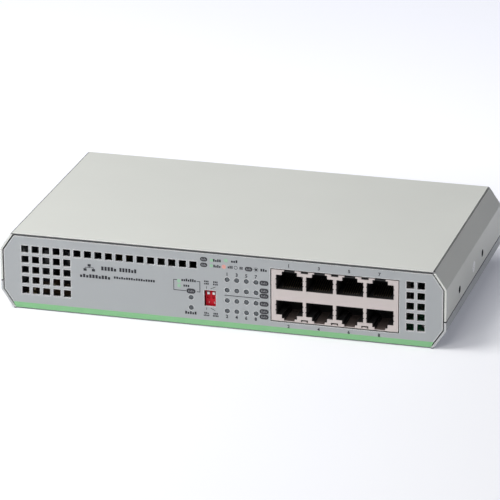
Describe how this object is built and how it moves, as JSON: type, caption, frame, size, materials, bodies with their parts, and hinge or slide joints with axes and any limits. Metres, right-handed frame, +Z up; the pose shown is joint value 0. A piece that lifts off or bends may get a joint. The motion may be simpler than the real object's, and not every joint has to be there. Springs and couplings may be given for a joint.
{
  "type": "desktop network switch",
  "caption": "Desktop network switch: low bevelled sheet-metal case with a stacked block of modular jacks, an indicator field, vent grids, a recessed slide switch and a rear mains inlet.",
  "frame": {"origin": "middle of the footprint, on the surface that the case stands on", "axes": "+X to the right along the front panel, -Y out of the front panel, +Z up"},
  "size_m": [0.209, 0.1164, 0.037],
  "materials": {
    "tray_paint": "satin",
    "cover_paint": "satin",
    "plated_steel": "satin",
    "board_green": "satin",
    "board_tan": "satin",
    "brass_standoff": "satin",
    "tinned_shield": "satin",
    "black_moulding": "satin",
    "gold_contact": "polished",
    "black_epoxy": "matte",
    "smoked_lens": "glossy",
    "red_moulding": "satin",
    "white_moulding": "satin",
    "nylon": "matte",
    "tinned_pin": "satin",
    "raw_aluminium": "brushed",
    "can_sleeve": "glossy",
    "ferrite": "matte",
    "winding_tape": "satin",
    "enamelled_copper": "satin",
    "fuse_glass": "clear",
    "sheet_insulator": "matte",
    "wire_red": "satin",
    "wire_brown": "satin",
    "wire_blue": "satin",
    "wire_green_yellow": "satin"
  },
  "bodies": {
    "case": {"base_tray": "tray_paint", "top_cover": "cover_paint", "cover_screws": "plated_steel", "rear_cover_screws": "plated_steel", "main_pcb": "board_green", "board_standoffs": "brass_standoff", "board_screws": "plated_steel", "jack_shield": "tinned_shield", "jack_housing": "black_moulding", "jack_contacts": "gold_contact", "magnetics_modules": "black_epoxy", "port_led_holder": "black_moulding", "port_led_lenses": "smoked_lens", "status_led_holder": "black_moulding", "status_led_lenses": "smoked_lens", "dip_switch_body": "red_moulding", "dip_switch_pins": "tinned_pin", "switch_chip": "black_epoxy", "chip_heatsink": "raw_aluminium", "flash_chip": "black_epoxy", "crystal": "tinned_pin", "board_capacitors": "can_sleeve", "power_inductor": "black_epoxy", "regulator_chip": "black_epoxy", "chip_resistors": "black_epoxy", "main_dc_header": "nylon", "dc_plugs": "nylon", "dc_wires": "wire_red", "psu_pcb": "board_tan", "insulation_sheet": "sheet_insulator", "transformer_core": "ferrite", "transformer_winding": "winding_tape", "bulk_capacitor": "can_sleeve", "emi_choke_core": "ferrite", "emi_choke_windings": "enamelled_copper", "x_capacitor": "winding_tape", "fuse": "fuse_glass", "fuse_clips": "brass_standoff", "bridge_rectifier": "black_epoxy", "psu_heatsink": "raw_aluminium", "switching_transistor": "black_epoxy", "output_capacitors": "can_sleeve", "output_inductor": "enamelled_copper", "psu_dc_header": "nylon", "ac_header": "nylon", "ac_inlet_body": "black_moulding", "ac_inlet_pins": "tinned_pin", "ac_inlet_screws": "plated_steel", "ac_inlet_nuts": "plated_steel", "line_wire": "wire_brown", "neutral_wire": "wire_blue", "earth_wire": "wire_green_yellow", "earth_stud": "plated_steel"},
    "slider_1": {"dip_actuator_1": "white_moulding"},
    "slider_2": {"dip_actuator_2": "white_moulding"}
  },
  "joints": [
    {"name": "dip_1_slide", "type": "slide", "parent": "case", "child": "slider_1", "axis": [0, 0, 1], "range_m": [-0.0018, 0]},
    {"name": "dip_2_slide", "type": "slide", "parent": "case", "child": "slider_2", "axis": [0, 0, 1], "range_m": [-0.0018, 0]}
  ]
}
